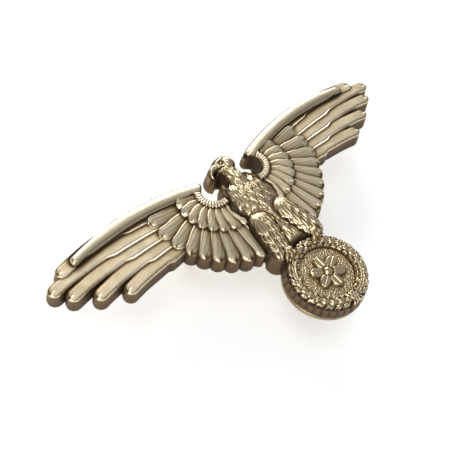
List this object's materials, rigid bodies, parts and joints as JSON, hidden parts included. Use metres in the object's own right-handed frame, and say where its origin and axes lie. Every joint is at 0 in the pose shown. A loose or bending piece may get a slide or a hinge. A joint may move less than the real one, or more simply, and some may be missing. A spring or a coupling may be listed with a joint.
{
  "type": "cap badge",
  "caption": "Spread-winged bird above a laurel wreath with a rosette, struck in metal, hollow-backed, with screw posts, washers, knurled nuts and a steady pin behind.",
  "frame": {"origin": "on the back face of the strap, on the badge's line of symmetry, 2 mm below the line of the posts", "axes": "+X along the wingspan, +Y towards the bird's head, +Z out of the front face"},
  "size_m": [0.08, 0.0386, 0.0144],
  "materials": {
    "struck_metal": "satin, patinated recesses",
    "strap_brass": "rolled sheet",
    "post_brass": "turned",
    "nut_brass": "turned and knurled",
    "solder": "soft solder"
  },
  "bodies": {
    "badge": {"left_wing": "struck_metal", "right_wing": "struck_metal", "bird_body": "struck_metal", "wreath_ring": "struck_metal", "wreath_backing": "struck_metal", "roundel": "struck_metal", "back_strap": "strap_brass", "left_post": "post_brass", "right_post": "post_brass", "steady_pin": "post_brass", "left_post_solder": "solder", "right_post_solder": "solder", "steady_pin_solder": "solder"},
    "left_washer_body": {"left_washer": "nut_brass"},
    "left_nut_body": {"left_nut": "nut_brass"},
    "right_washer_body": {"right_washer": "nut_brass"},
    "right_nut_body": {"right_nut": "nut_brass"}
  },
  "joints": [
    {"name": "left_washer_slide", "type": "slide", "parent": "badge", "child": "left_washer_body", "axis": [0, 0, -1], "range_m": [0, 0.0045]},
    {"name": "left_nut_spin", "type": "hinge", "parent": "left_washer_body", "child": "left_nut_body", "pos_m": [-0.011, 0.002, 0], "axis": [0, 0, -1], "range_deg": [0, 3240]},
    {"name": "right_washer_slide", "type": "slide", "parent": "badge", "child": "right_washer_body", "axis": [0, 0, -1], "range_m": [0, 0.0045]},
    {"name": "right_nut_spin", "type": "hinge", "parent": "right_washer_body", "child": "right_nut_body", "pos_m": [0.011, 0.002, 0], "axis": [0, 0, -1], "range_deg": [0, 3240]}
  ],
  "couplings": [
    {"joint": "left_nut_spin", "follows": "left_washer_slide", "rad_per_m": 12566},
    {"joint": "right_nut_spin", "follows": "right_washer_slide", "rad_per_m": 12566}
  ]
}
